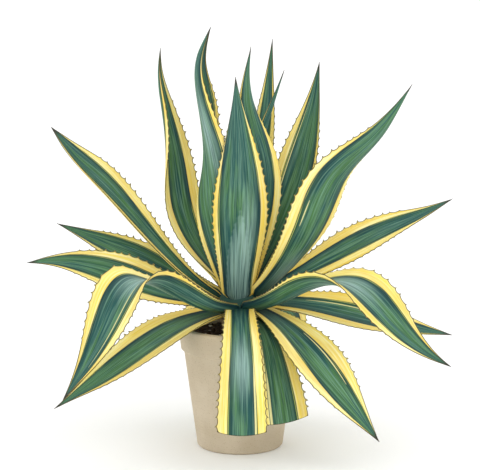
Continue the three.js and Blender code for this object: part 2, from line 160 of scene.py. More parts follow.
# Unglazed buff earthenware: open, dry and matt, with clouds about 70 mm wide, iron specks of about a
# millimetre, faint rings 7.5 mm apart from the press, and damper, darker clay at the foot.
clay, tree, output = new_material("buff_earthenware")
place = add_node(tree, "ShaderNodeTexCoord").outputs["Object"]
cloudy = add_node(tree, "ShaderNodeTexNoise", {"Vector": place, "Scale": CLAY_CLOUDS, "Detail": 6.0})
above_foot = add_node(tree, "ShaderNodeSeparateXYZ", {"Vector": place}).outputs["Z"]
damp = add_node(tree, "ShaderNodeMapRange", {
    "Value": above_foot, "From Min": 0.0, "From Max": DAMP_HEIGHT, "To Min": 0.55, "To Max": 0.0,
})
damp_edge = add_node(tree, "ShaderNodeMath", {0: damp.outputs["Result"], 1: cloudy.outputs["Fac"]},
                     operation="MULTIPLY")
grit = add_node(tree, "ShaderNodeTexVoronoi", {"Vector": place, "Scale": CLAY_GRIT})
speck = add_node(tree, "ShaderNodeMapRange", {
    "Value": grit.outputs["Distance"], "From Min": 0.10, "From Max": 0.22, "To Min": 0.7, "To Max": 0.0,
})
colour = linear(CLAY_LIGHT)
for amount, paint in ((cloudy, CLAY_DARK), (damp_edge, CLAY_DAMP), (speck, CLAY_SPECK)):
    colour = add_node(tree, "ShaderNodeMix", {
        "Factor": amount.outputs[0], "A": colour, "B": linear(paint),
    }, data_type="RGBA").outputs["Result"]
press_rings = add_node(tree, "ShaderNodeTexWave", {
    "Vector": place, "Scale": CLAY_RINGS, "Distortion": 1.5, "Detail": 2.0, "Detail Scale": 0.6,
}, wave_type="BANDS", bands_direction="Z")
pores = add_node(tree, "ShaderNodeTexNoise", {"Vector": place, "Scale": CLAY_PORES, "Detail": 4.0})
relief = add_node(tree, "ShaderNodeMath", {0: press_rings.outputs["Fac"], 1: pores.outputs["Fac"]},
                  operation="ADD")
clay_bump = add_node(tree, "ShaderNodeBump", {
    "Height": relief.outputs[0], "Strength": 0.35, "Distance": 0.0006,
})
clay_shader = add_node(tree, "ShaderNodeBsdfPrincipled", {
    "Base Color": colour, "Roughness": 0.86, "Specular IOR Level": 0.3,
    "Normal": clay_bump.outputs["Normal"],
})
tree.links.new(clay_shader.outputs["BSDF"], output.inputs["Surface"])

band_foot = POT_HEIGHT - RIM_BAND_HEIGHT
pot_outline = np.array([
    [0, 0],
    [POT_BASE_RADIUS - POT_CHAMFER, 0],
    [POT_BASE_RADIUS, POT_CHAMFER],
    [pot_radius(band_foot), band_foot],
    [POT_RIM_RADIUS - RIM_BAND_DRAFT, band_foot + RIM_BAND_UNDERSIDE],
    [POT_RIM_RADIUS, POT_HEIGHT - POT_CHAMFER],
    [POT_RIM_RADIUS - LIP_BEVEL, POT_HEIGHT],
    [POT_RIM_RADIUS - POT_WALL, POT_HEIGHT],
    [POT_RIM_RADIUS - POT_WALL - LIP_BEVEL, POT_HEIGHT - LIP_DEPTH],
    [pot_radius(POT_FLOOR) - POT_WALL, POT_FLOOR],
    [0, POT_FLOOR],
])
pot_shape = turned_shape(softened(pot_outline, CORNER_RADIUS), POT_TURNS)
pot = add_piece("clay_pot", *pot_shape, clay)

# The drain holes are cut by three drills in one mesh, which is then taken away again.
hole_angle = np.arange(DRAIN_HOLES) / DRAIN_HOLES * 2 * np.pi + np.pi / 2
hole_places = DRAIN_HOLE_RING * np.stack([np.cos(hole_angle), np.sin(hole_angle), 0 * hole_angle], axis=1)
drill_outline = np.array([[0, DRILL_FROM], [1, DRILL_FROM], [1, DRILL_TO], [0, DRILL_TO]])
drill_points, drill_faces = turned_shape(drill_outline * [DRAIN_HOLE_RADIUS, 1], DRILL_TURNS)
drills = (hole_places[:, None] + drill_points).reshape(-1, 3)
drill_starts = np.arange(DRAIN_HOLES) * len(drill_points)
all_drill_faces = [[k + int(start) for k in face] for start in drill_starts for face in drill_faces]
drill = add_piece("drill", drills, all_drill_faces, clay)
cut = pot.modifiers.new("drain_holes", "BOOLEAN")
cut.object = drill
cut.solver = "EXACT"
bpy.context.view_layer.update()
drilled = bpy.data.meshes.new_from_object(pot.evaluated_get(bpy.context.evaluated_depsgraph_get()))
pot.modifiers.clear()
pot.data = drilled
bpy.data.objects.remove(drill)
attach(pot, "root")
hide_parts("pot")


# The soil: a gritty cactus mix of peat crumbs, grit and a few white grains of perlite, heaped a little
# towards the stem. It fills the pot to two centimetres below the rim.
SOIL_BELOW_RIM = 0.022
SOIL_MOUND = 0.005
SOIL_RINGS, SOIL_TURNS = 84, 300
STEM_RADIUS = 0.040
STEM_FOOT = 0.150
GAP = 0.0003
CRUMBS = 1500
CRUMB_SHAPE, CRUMB_SPREAD = 3.0, 0.0011
CRUMB_LEAST, CRUMB_LARGEST = 0.0012, 0.0062
CRUMB_RISE = 0.75
CALM_EDGE = 0.12
PERLITE_SHARE = 0.06
PERLITE_RISE = 0.0004
PEAT_GRAIN = 700.0
PEAT_DARK = "#2b2019"
PEAT_BROWN = "#5a4431"
PERLITE = "#cfc9bd"

dice = np.random.default_rng(5)
inner_top = POT_RIM_RADIUS - POT_WALL - LIP_BEVEL
inner_floor = pot_radius(POT_FLOOR) - POT_WALL
inner_slope = (inner_top - inner_floor) / (POT_HEIGHT - LIP_DEPTH - POT_FLOOR)
soil_top = POT_HEIGHT - SOIL_BELOW_RIM


def soil_side(height):
    """Radius of the soil at a height: the pot's straight inside less a small gap."""
    return inner_floor + inner_slope * (height - POT_FLOOR) - GAP * 1.5


def crumbled(x, y, crumb_x, crumb_y, crumb_size):
    """Height of a heap of half-sunk balls at x, y: the highest of sqrt(size^2 - distance^2), or 0 where
    none reaches, and the number of the ball that is highest."""
    square = crumb_size**2 - (x[:, None] - crumb_x) ** 2 - (y[:, None] - crumb_y) ** 2
    lift = np.sqrt(np.clip(square, 0, None))
    top = lift.argmax(axis=1)
    return lift[np.arange(len(x)), top], top


# Crumbs lie half sunk in a mound, and shrink to nothing where the soil meets the stem and the pot.
hole = STEM_RADIUS + GAP
share = np.linspace(0, 1, SOIL_RINGS)
ring_radius = hole + (soil_side(soil_top) - hole) * share
ring_height = soil_top + SOIL_MOUND * (1 - share) ** 0.8
soil_grid = turned_points(ring_radius, ring_height, SOIL_TURNS)
crumb_angle = dice.uniform(0, 2 * np.pi, CRUMBS)
crumb_radius = np.sqrt(dice.uniform(hole**2, soil_side(soil_top) ** 2, CRUMBS))
crumb_size = dice.gamma(CRUMB_SHAPE, CRUMB_SPREAD, CRUMBS).clip(CRUMB_LEAST, CRUMB_LARGEST)
crumb_x, crumb_y = crumb_radius * np.cos(crumb_angle), crumb_radius * np.sin(crumb_angle)
lift, crumb = crumbled(soil_grid[:, 0], soil_grid[:, 1], crumb_x, crumb_y, crumb_size)
calm = np.sin(np.pi * np.clip(share, 0.012, 0.988)).clip(0, CALM_EDGE) / CALM_EDGE
soil_grid[:, 2] += lift * np.tile(calm, SOIL_TURNS) * CRUMB_RISE
under_radius = np.array([hole, soil_side(POT_FLOOR + GAP)])
under_height = np.array([STEM_FOOT - GAP, POT_FLOOR + GAP])
under_grid = turned_points(under_radius, under_height, SOIL_TURNS)
poles = np.array([[0, 0, height] for height in under_height])
top_index = np.arange(SOIL_TURNS * SOIL_RINGS).reshape(SOIL_TURNS, SOIL_RINGS)
under_index = SOIL_TURNS * SOIL_RINGS + np.arange(SOIL_TURNS * 2).reshape(SOIL_TURNS, 2)
loop = np.hstack([under_index[:, :1], top_index, under_index[:, 1:]])
loop_on = np.roll(loop, -1, axis=0)
soil_walls = np.stack([loop[:, :-1], loop[:, 1:], loop_on[:, 1:], loop_on[:, :-1]], axis=2).reshape(-1, 4)
hole_pole = np.full(SOIL_TURNS, SOIL_TURNS * (SOIL_RINGS + 2))
hole_end = np.stack([hole_pole, loop[:, 0], loop_on[:, 0]], axis=1)
soil_end = np.stack([hole_pole + 1, loop_on[:, -1], loop[:, -1]], axis=1)
soil_faces = soil_walls.tolist() + hole_end.tolist() + soil_end.tolist()
white = np.where(dice.uniform(0, 1, CRUMBS) < PERLITE_SHARE, 1.0, 0.0)
tint = dice.uniform(0, 1, CRUMBS)
under_values = np.zeros(len(under_grid) + len(poles))
soil_values = {
    "perlite": np.concatenate([np.where(lift > PERLITE_RISE, white[crumb], 0), under_values]),
    "crumb_tint": np.concatenate([np.where(lift > 0, tint[crumb], 0.3), under_values]),
}

# Peat and grit: dark, crumbly and quite matt, with a grain of 1.4 mm, each crumb a shade of its own.
peat, tree, output = new_material("cactus_mix")
place = add_node(tree, "ShaderNodeTexCoord").outputs["Object"]
crumb_tint = add_node(tree, "ShaderNodeAttribute", attribute_name="crumb_tint").outputs["Fac"]
grain = add_node(tree, "ShaderNodeTexNoise", {"Vector": place, "Scale": PEAT_GRAIN, "Detail": 4.0})
browned = add_node(tree, "ShaderNodeMath", {0: crumb_tint, 1: grain.outputs["Fac"]}, operation="MULTIPLY")
white_grain = add_node(tree, "ShaderNodeAttribute", attribute_name="perlite").outputs["Fac"]
colour = linear(PEAT_DARK)
for amount, paint in ((browned.outputs[0], PEAT_BROWN), (white_grain, PERLITE)):
    colour = add_node(tree, "ShaderNodeMix", {
        "Factor": amount, "A": colour, "B": linear(paint),
    }, data_type="RGBA").outputs["Result"]
peat_bump = add_node(tree, "ShaderNodeBump", {
    "Height": grain.outputs["Fac"], "Strength": 0.8, "Distance": 0.0012,
})
peat_shader = add_node(tree, "ShaderNodeBsdfPrincipled", {
    "Base Color": colour, "Roughness": 0.95, "Specular IOR Level": 0.2,
    "Normal": peat_bump.outputs["Normal"],
})
tree.links.new(peat_shader.outputs["BSDF"], output.inputs["Surface"])
soil_points = np.vstack([soil_grid, under_grid, poles])
soil = add_piece("cactus_mix_soil", soil_points, soil_faces, peat, soil_values)
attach(soil, "root")
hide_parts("soil")


# The stem: short, thick and woody, with the scars and dry bases of old leaves wound round it in two
# crossing spirals. It grows out of the soil and ends in the dome that carries the leaves.
CROWN_HEIGHT = 0.350
DOME_RADIUS = 0.050
DOME_HEIGHT = 0.045
DOME_SHOULDER = 0.015
STEM_SWELL = 0.003
STEM_SWELL_HEIGHT = 0.012
STEM_INSET = 0.0002
STEM_TURNS, STEM_ROWS, DOME_ROWS = 180, 110, 24
SCAR_TURNS = 2.5
SCAR_SPACING = 0.017
LEDGE_DEPTH = 0.0032
LEDGE_LEVEL = 0.45
LEDGE_START, LEDGE_FADE, DOME_FADE = 0.001, 0.006, 0.01
SHEATH_DEPTH, SHEATH_FADE = 0.045, 0.02
BARK_FIBRES = (900.0, 900.0, 90.0)
BARK_PALE = "#a8946a"
BARK_DARK = "#5c4a30"
LEAF_BASE_GREEN = "#27483f"

mound_top = soil_top + SOIL_MOUND
shoulder = CROWN_HEIGHT - DOME_SHOULDER
stem_profile = np.array([
    [STEM_RADIUS - STEM_INSET, STEM_FOOT],
    [STEM_RADIUS - STEM_INSET, mound_top],
    [STEM_RADIUS + STEM_SWELL, mound_top + STEM_SWELL_HEIGHT],
    [DOME_RADIUS, shoulder],
])
profile_run = np.concatenate([[0], np.linalg.norm(np.diff(stem_profile, axis=0), axis=1).cumsum()])
wall_run = np.linspace(0, profile_run[-1], STEM_ROWS - DOME_ROWS)
wall = np.stack([np.interp(wall_run, profile_run, stem_profile[:, k]) for k in (0, 1)], axis=1)
dome_angle = np.linspace(0, np.pi / 2, DOME_ROWS + 1)[1:-1]
dome = np.stack([
    DOME_RADIUS * np.cos(dome_angle),
    shoulder + (DOME_HEIGHT + DOME_SHOULDER) * np.sin(dome_angle),
], axis=1)
dome_top = [0, CROWN_HEIGHT + DOME_HEIGHT]
stem_outline = np.vstack([[[0, STEM_FOOT]], wall, dome, [dome_top]])
stem_points, stem_faces = turned_shape(stem_outline, STEM_TURNS)

# The ledges stand out by the square root of how far a point is from both spirals of scars, and fade
# out at the soil and at the dome.
turn = np.arctan2(stem_points[:, 1], stem_points[:, 0])
rise = (stem_points[:, 2] - mound_top) / SCAR_SPACING
scar = np.abs(np.sin(SCAR_TURNS * turn + rise * np.pi / 2) * np.sin(SCAR_TURNS * turn - rise * np.pi / 2))
above = np.clip((stem_points[:, 2] - mound_top - LEDGE_START) / LEDGE_FADE, 0, 1)
below_dome = np.clip((CROWN_HEIGHT + DOME_FADE - stem_points[:, 2]) / DOME_FADE, 0, 1)
ledge = (scar**0.5 - LEDGE_LEVEL) * LEDGE_DEPTH * above * below_dome
reach = np.hypot(stem_points[:, 0], stem_points[:, 1]).clip(1e-6)
stem_points[:, :2] *= (1 + ledge / reach)[:, None]

# Dry bark and leaf bases: matt, with fibres of 1 by 11 mm, pale on the ledges and dark in the scars
# between them. The dome has the green of the leaves' feet.
bark, tree, output = new_material("dry_fibrous_bark")
place = add_node(tree, "ShaderNodeTexCoord").outputs["Object"]
stretched = add_node(tree, "ShaderNodeMapping", {"Vector": place, "Scale": BARK_FIBRES})
fibre = add_node(tree, "ShaderNodeTexNoise", {
    "Vector": stretched.outputs["Vector"], "Scale": 1.0, "Detail": 5.0,
})
scar_depth = add_node(tree, "ShaderNodeAttribute", attribute_name="ledge").outputs["Fac"]
pale = add_node(tree, "ShaderNodeMath", {0: scar_depth, 1: fibre.outputs["Fac"]}, operation="MULTIPLY")
sheathed = add_node(tree, "ShaderNodeAttribute", attribute_name="sheathed").outputs["Fac"]
colour = linear(BARK_DARK)
for amount, paint in ((pale.outputs[0], BARK_PALE), (sheathed, LEAF_BASE_GREEN)):
    colour = add_node(tree, "ShaderNodeMix", {
        "Factor": amount, "A": colour, "B": linear(paint),
    }, data_type="RGBA").outputs["Result"]
bark_bump = add_node(tree, "ShaderNodeBump", {
    "Height": fibre.outputs["Fac"], "Strength": 0.6, "Distance": 0.0008,
})
bark_shader = add_node(tree, "ShaderNodeBsdfPrincipled", {
    "Base Color": colour, "Roughness": 0.82, "Specular IOR Level": 0.3,
    "Normal": bark_bump.outputs["Normal"],
})
tree.links.new(bark_shader.outputs["BSDF"], output.inputs["Surface"])
stem_values = {
    "ledge": 0.6 + scar * 1.2,
    "sheathed": np.clip((stem_points[:, 2] - CROWN_HEIGHT + SHEATH_DEPTH) / SHEATH_FADE, 0, 1),
}
stem = add_piece("leaf_scarred_stem", stem_points, stem_faces, bark, stem_values)
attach(stem, "root")
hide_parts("stem")


# The leaves: long fleshy blades, folded along the midrib and drawn out to a horny spine. Each is green
# in the middle and yellow at its margins, and the margins run in shallow scallops from hook to hook.
# The two at the front that end square were cut through with a knife.
BASE_SHARE, WIDEST_AT, DRAWN_OUT = 0.42, 0.5, 0.55
BLADE_THICKNESS = 0.011
BLADE_TAPER = 0.65
KEEL_HALF_WIDTH = 0.018
KEEL_POWER = 2.2
KEEL_INSIDE = 0.15
FOLD_POWER = 0.8
FOLD_STEPS = 12
EDGE_HALF_THICKNESS = 0.0008
EDGE_ROUND = 0.0006
SPINE_LENGTH = 0.028
SPINE_RADIUS = 0.0018
SPINE_TIP_RADIUS = 0.00035
SPINE_FLATNESS = 0.9
TRIM_ARC = 0.02
CLASP_LENGTH = 0.030
CLASP_SHARE = 0.3
RIB_POINTS = 301
ROW_SPACING = 0.0024
SPINE_ROWS = 8
COLUMNS = 19
TOOTHED_FROM = 0.10
TOOTHED_TO = 0.8
TOOTHED_TO_CUT = 0.985
TOOTH_SPACING_BASE = 0.008
TOOTH_SPACING = 0.019
TEETH_GROWN_AT = 0.42
TOOTH_FULL_WIDTH = 90
TOOTH_SHIFT = 0.16
TOOTH_SIZES = (0.85, 1.1)
SCALLOP_DEPTH = 0.0036
HOOK_HEIGHT = 0.0030
HOOK_HALF_WIDTH = 0.0026
HOOK_HALF_THICKNESS = 0.0009
HOOK_LEAN = 0.0018
HOOK_ROOT = 0.0012
HOOK_SIDES = 6
HOOK_RINGS = [0.0, 0.3, 0.6, 0.85, 1.0]
HOOK_HORN = [0.0, 0.5, 0.9, 1.0, 1.0]
HOOK_RIM = 0.0012
GREEN_SHARES = [0.74, 0.66, 0.60, 0.62, 0.70, 0.92]
OUTER_GREEN = 0.30
STRIPE_BLUR = 0.025
STRIPE_GONE = 0.03
PRINT_TOOTH = 0.017
PRINT_JAG = 0.16
SHADED_LENGTH = 0.17
HORN_FROM, HORN_FADE = 0.030, 0.020
LEAF_SEED = 100

# From the youngest out. width is in millimetres, at the widest place. midrib: points from the crown to
# the right, back and up, in millimetres. The next three are values in degrees at even steps along the
# leaf. facing: the compass angle that the outer side turns to. fold: how far each half rises at its
# margin. roll: turn about the midrib. base: the width's share at the foot. widest: where along the leaf
# it is widest. drawn: how far the tip is drawn out. cut: the share of the midrib that is left.
# green_right and green_left: how far across each half the green reaches, at even steps. stripes: cream
# stripes, by place across, half width, start and end. The highlight patches: painted highlights of wax
# blue where light falls on the bends, by place along, place across, length and width. imprint: the
# print of a neighbour, by place across, half width and height.
# tone: how grassy the green is, from 0 to 1, which is drawn by lot where none is given.
LEAVES = [
    {"node": "leaf_youngest", "width": 34, "facing": [300], "fold": [40, 60, 70],
     "midrib": [[0, 0, 35], [15, 5, 190], [38, 8, 355], [74, 10, 455], [103, 12, 540]]},
    {"node": "leaf_upright_back", "width": 64, "facing": [80], "fold": [25, 30, 50],
     "midrib": [[5, 20, 20], [25, 45, 150], [45, 70, 300], [66, 90, 455], [77, 100, 610]]},
    {"node": "leaf_upright_middle", "width": 88, "facing": [275, 270, 290, 310],
     "fold": [20, 22, 40, 70], "drawn": 0.7, "green_right": [0.4, 0.3, 0.3, 0.42, 0.85, 1],
     "green_left": [0.7, 0.7, 0.7, 0.7, 0.6, 0.85], "tone": 0.45,
     "midrib": [[12, -20, 15], [40, -30, 135], [61, -42, 255], [48, -48, 360], [8, -50, 475],
     [25, -50, 595]]},
    {"node": "leaf_upright_front", "width": 128, "facing": [270], "fold": [20, 25, 55], "base": 0.6,
     "widest": 0.42, "drawn": 0.6, "green_right": [0.66, 0.6, 0.6, 0.62, 0.66, 0.85],
     "green_left": [0.72, 0.68, 0.7, 0.8, 1, 1], "painted_highlight": [[0.3, 0.3, 0.2, 0.25]],
     "imprint": [0.0, 0.62, 0.46],
     "midrib": [[-5, -30, -5], [-5, -62, 80], [1, -108, 205], [2, -138, 330], [-5, -155, 445],
     [-10, -162, 530]]},
    {"node": "leaf_tallest", "width": 134, "facing": [264, 264, 205, 160, 166],
     "fold": [25, 30, 60, 68, 85], "widest": 0.55, "drawn": 0.5,
     "green_right": [0.74, 0.7, 0.72, 0.8, 0.84, 0.95],
     "green_left": [0.5, 0.36, 0.42, 0.88, 0.94, 0.97], "painted_highlight": [[0.62, 0.45, 0.16, 0.3]],
     "tone": 0.42,
     "midrib": [[-15, -20, 15], [-48, -48, 115], [-75, -68, 235], [-72, -80, 350], [-92, -85, 475],
     [-104, -85, 560], [-65, -80, 640]]},
    {"node": "leaf_upright_left", "width": 108, "facing": [165, 118, 122, 152, 155],
     "fold": [25, 25, 60, 80, 85], "base": 0.5, "widest": 0.42,
     "green_right": [0.5, 0.42, 0.48, 0.6, 0.7, 0.85],
     "green_left": [0.72, 0.64, 0.6, 0.6, 0.66, 0.85], "tone": 0.7,
     "midrib": [[-20, 10, 20], [-103, 35, 105], [-150, 58, 208], [-158, 75, 325], [-178, 80, 440],
     [-195, 78, 530], [-187, 70, 590]]},
    {"node": "leaf_upright_right", "width": 99, "facing": [80], "fold": [25, 25, 55],
     "green_left": [0.7, 0.8, 0.82, 0.88, 0.95, 1], "stripes": [[0.5, 0.022, 0.22, 0.85]],
     "tone": 0.55,
     "midrib": [[20, 20, 20], [68, 50, 125], [118, 80, 240], [155, 105, 370], [178, 115, 470],
     [190, 120, 555]]},
    {"node": "leaf_leaning_right", "width": 126, "facing": [300, 290], "fold": [25, 25, 50],
     "widest": 0.42, "drawn": 0.75, "green_right": [0.6, 0.45, 0.4, 0.6, 0.95, 1],
     "green_left": [0.6, 0.5, 0.55, 0.65, 0.9, 1], "stripes": [[-0.5, 0.016, 0.36, 0.47]],
     "painted_highlight": [[0.14, 0.1, 0.1, 0.6]], "tone": 0.62,
     "midrib": [[30, -20, 10], [103, -60, 85], [171, -100, 191], [201, -130, 314], [306, -160, 389],
     [380, -175, 515]]},
    {"node": "leaf_leaning_left", "width": 94, "facing": [180], "fold": [25, 40, 60], "roll": [-35],
     "base": 0.25, "widest": 0.68, "drawn": 0.25, "tone": 0.3,
     "midrib": [[-35, 0, -2], [-118, 15, 46], [-212, 30, 145], [-312, 40, 264], [-397, 45, 338],
     [-445, 45, 405]]},
    {"node": "leaf_spreading_right", "width": 98, "facing": [0], "fold": [25, 25, 40], "roll": [45],
     "base": 0.3, "green_left": [0.6, 0.48, 0.42, 0.5, 0.75, 0.95], "tone": 0.12,
     "midrib": [[35, 5, 10], [140, 25, 52], [250, 40, 112], [355, 50, 165], [442, 50, 199],
     [505, 45, 235]]},
    {"node": "leaf_back_middle_upper", "width": 106, "facing": [92], "fold": [25, 30, 50],
     "midrib": [[0, 30, 10], [-5, 110, 85], [-10, 200, 190], [-12, 275, 300], [-15, 330, 400]]},
    {"node": "leaf_back_right_upper", "width": 88, "facing": [52], "fold": [25, 30, 50],
     "midrib": [[25, 25, 5], [80, 100, 60], [140, 190, 140], [210, 280, 230], [260, 350, 285]]},
    {"node": "leaf_back_left_upper", "width": 80, "facing": [135], "fold": [25, 30, 50],
     "midrib": [[-18, 25, 5], [-66, 100, 50], [-103, 190, 125], [-130, 280, 210], [-142, 350, 285]]},
    {"node": "leaf_spreading_left_upper", "width": 98, "facing": [170], "fold": [25, 30, 40],
     "roll": [-42], "green_left": [0.74, 0.72, 0.74, 0.8, 0.9, 0.96], "tone": 0.6,
     "midrib": [[-35, 15, 0], [-160, 75, 40], [-265, 120, 85], [-355, 150, 120], [-450, 165, 160]]},
    {"node": "leaf_spreading_left_lower", "width": 104, "facing": [180], "fold": [25, 25, 45],
     "roll": [-55], "base": 0.32, "green_left": [0.72, 0.64, 0.62, 0.68, 0.78, 0.95], "tone": 0.78,
     "midrib": [[-40, 5, -10], [-145, 20, 5], [-245, 30, 40], [-350, 30, 75], [-435, 25, 90],
     [-505, 20, 85]]},
    {"node": "leaf_back_right_lower", "width": 100, "facing": [40], "fold": [25, 25, 45],
     "midrib": [[35, 20, -10], [130, 100, 35], [235, 190, 80], [335, 280, 110], [415, 340, 135]]},
    {"node": "leaf_back_left_lower", "width": 100, "facing": [140], "fold": [25, 25, 45],
     "midrib": [[-30, 25, -10], [-145, 110, 20], [-245, 200, 55], [-335, 280, 85], [-390, 340, 100]]},
    {"node": "leaf_back_middle_lower", "width": 112, "facing": [85], "fold": [25, 25, 45],
     "midrib": [[5, 35, -10], [15, 150, 10], [25, 275, 40], [40, 390, 40], [50, 480, -5]]},
    {"node": "leaf_arching_left", "width": 122, "facing": [235, 235, 258, 262],
     "fold": [75, 75, 25, 35, 60], "green_right": [0.95, 0.93, 0.8, 0.62, 0.7, 0.92],
     "stripes": [[0.42, 0.016, 0.5, 0.85]], "painted_highlight": [[0.5, 0.1, 0.07, 0.6]], "tone": 0.08,
     "midrib": [[-2, -34, -17], [-75, -105, -6], [-145, -165, 45], [-210, -210, 90], [-258, -240, 75],
     [-294, -250, -10], [-338, -245, -100], [-395, -235, -185]]},
    {"node": "leaf_arching_right", "width": 122, "facing": [305, 305, 285, 280],
     "fold": [75, 75, 25, 30, 60], "green_left": [0.95, 0.93, 0.8, 0.62, 0.7, 0.92],
     "painted_highlight": [[0.5, 0.0, 0.12, 0.6]], "tone": 0.4,
     "midrib": [[2, -36, -17], [85, -105, 10], [160, -160, 66], [232, -200, 82], [295, -230, 48],
     [356, -240, -28], [418, -238, -80], [470, -230, -110]]},
    {"node": "leaf_level_right", "width": 118, "facing": [345], "fold": [25, 25, 40], "roll": [28],
     "green_left": [0.6, 0.48, 0.42, 0.5, 0.7, 0.92], "stripes": [[0.42, 0.018, 0.25, 0.6]],
     "tone": 0.2,
     "midrib": [[35, -5, -5], [140, -25, -6], [245, -45, -24], [375, -60, -56], [495, -65, -72]]},
    {"node": "leaf_drooping_left", "width": 136, "facing": [218, 248, 255], "fold": [25, 20, 55],
     "base": 0.66, "widest": 0.34, "drawn": 0.65, "green_right": [0.55, 0.4, 0.42, 0.58, 0.8, 0.95],
     "tone": 0.85,
     "midrib": [[-25, -20, -25], [-115, -95, -32], [-200, -160, -72], [-295, -195, -132],
     [-420, -195, -215]]},
    {"node": "leaf_trimmed_front", "width": 112, "facing": [270], "fold": [25, 20, 15], "base": 0.6,
     "widest": 0.9, "cut": 0.815, "green_right": [0.7, 0.6, 0.58, 0.6, 0.64, 0.66],
     "green_left": [0.7, 0.6, 0.58, 0.6, 0.6, 0.6], "stripes": [[0.57, 0.035, 0.55, 1.0]],
     "painted_highlight": [[0.62, 0.0, 0.16, 0.5]], "tone": 0.28,
     "midrib": [[0, -30, -12], [0, -150, -18], [4, -235, -70], [4, -275, -165], [4, -290, -345]]},
    {"node": "leaf_drooping_right", "width": 134, "facing": [305, 290], "fold": [25, 20, 40],
     "green_right": [0.66, 0.6, 0.55, 0.58, 0.7, 0.92],
     "green_left": [0.6, 0.5, 0.42, 0.52, 0.72, 0.92], "stripes": [[0.48, 0.02, 0.35, 0.7]],
     "tone": 0.5,
     "midrib": [[25, -20, -12], [100, -125, -32], [180, -220, -115], [250, -250, -200],
     [310, -255, -275]]},
    {"node": "leaf_trimmed_right", "width": 112, "facing": [285], "fold": [25, 20, 15], "base": 0.45,
     "widest": 0.8, "cut": 0.76, "green_right": [0.7, 0.6, 0.58, 0.58, 0.6, 0.6],
     "green_left": [0.7, 0.6, 0.6, 0.62, 0.64, 0.64], "stripes": [[-0.56, 0.05, 0.6, 1.0]],
     "tone": 0.95,
     "midrib": [[24, -28, -24], [42, -98, -31], [67, -165, -58], [85, -185, -142], [100, -190, -240],
     [115, -195, -355]]},
    {"node": "leaf_back_hanging_left", "width": 112, "facing": [110], "fold": [25, 20, 40],
     "midrib": [[-10, 35, -15], [-55, 150, -30], [-95, 240, -80], [-115, 290, -170], [-120, 300, -265]]},
    {"node": "leaf_back_hanging_right", "width": 112, "facing": [66], "fold": [25, 20, 40],
     "midrib": [[20, 30, -15], [75, 145, -30], [115, 240, -75], [130, 300, -160], [130, 310, -255]]},
]


def smoothstep(x):
    """3x^2 - 2x^3 between 0 and 1, and level outside."""
    x = np.clip(x, 0, 1)
    return x * x * (3 - 2 * x)


def spline(points, share):
    """A uniform cubic B-spline through rows of numbers, with (1-f)^3, 3f^3-6f^2+4, -3f^3+3f^2+3f+1 and
    f^3, each over 6, as the weights of four rows in turn. A reflected row at each end makes it start on
    the first row and end on the last."""
    points = np.asarray(points, float)
    rows = np.vstack([2 * points[0] - points[1], points, 2 * points[-1] - points[-2]])
    place = share * (len(points) - 1)
    first = np.minimum(place.astype(int), len(points) - 2)
    f = (place - first)[:, None]
    weights = [(1 - f) ** 3, 3 * f**3 - 6 * f**2 + 4, -3 * f**3 + 3 * f**2 + 3 * f + 1, f**3]
    return sum(weight * rows[first + k] for k, weight in enumerate(weights)) / 6


def along(values, t):
    """A number that changes smoothly along the leaf, from numbers given at even steps of t."""
    if len(values) == 1:
        return np.full(t.shape, float(values[0]))
    if len(values) == 2:
        return values[0] + (values[1] - values[0]) * smoothstep(t)
    return spline([[value] for value in values], t)[:, 0]


def measure(leaf):
    """Adds the midrib as a row of points in metres, and the length run up to each of them."""
    rib = spline(leaf["midrib"], np.linspace(0, 1, RIB_POINTS)) / 1000 + [0, 0, CROWN_HEIGHT]
    steps = np.linalg.norm(np.diff(rib, axis=0), axis=1)
    leaf["rib"], leaf["run"] = rib, np.concatenate([[0], steps.cumsum()])
    leaf["length"] = leaf["run"][-1]


def rib_at(leaf, t):
    """The points of the midrib at the shares t of its length."""
    run = t * leaf["length"]
    return np.stack([np.interp(run, leaf["run"], leaf["rib"][:, k]) for k in range(3)], axis=1)


def unit(vectors):
    """The vectors, each over its own length."""
    return vectors / np.linalg.norm(vectors, axis=1, keepdims=True)


def width_share(leaf, t):
    """Share of the full width: it swells from the base to the widest place by a smoothstep. Past it, with
    e from 0 to 1, it is (1-drawn)(1-e^2) + drawn(1-e)^2(1+2e), which draws it out to a point."""
    base, widest = leaf.get("base", BASE_SHARE), leaf.get("widest", WIDEST_AT)
    drawn = leaf.get("drawn", DRAWN_OUT)
    e = np.clip((t - widest) / (1 - widest), 0, 1)
    swelling = base + (1 - base) * smoothstep(t / widest)
    drawing = (1 - drawn) * (1 - e * e) + drawn * (1 - e) ** 2 * (1 + 2 * e)
    return np.where(t < widest, swelling, drawing)


def sections(leaf, t):
    """Middle, tangent, across and inner directions, half width and fold of the blade at the shares t.
    Across is level and square to the heading, then square to the tangent, then turned by the roll."""
    step = 0.001
    tangent = unit(rib_at(leaf, np.minimum(t + step, 1)) - rib_at(leaf, np.maximum(t - step, 0)))
    heading = np.radians(along(leaf["facing"], t))
    level = np.stack([-np.sin(heading), np.cos(heading), 0 * heading], axis=1)
    across = unit(level - tangent * (level * tangent).sum(axis=1, keepdims=True))
    roll = np.radians(along(leaf.get("roll", [0]), t))[:, None]
    across = across * np.cos(roll) + np.cross(tangent, across) * np.sin(roll)
    inner = np.cross(tangent, across)
    spine = np.clip((1 - t) * leaf["length"] / SPINE_LENGTH, 0, 1)
    needle = SPINE_TIP_RADIUS + (SPINE_RADIUS - SPINE_TIP_RADIUS) * spine
    clasp = CLASP_SHARE + (1 - CLASP_SHARE) * smoothstep(t * leaf["length"] / CLASP_LENGTH)
    half_width = np.maximum(leaf["width"] / 2000 * width_share(leaf, t) * clasp, needle)
    return rib_at(leaf, t), tangent, across, inner, half_width, np.radians(along(leaf["fold"], t))


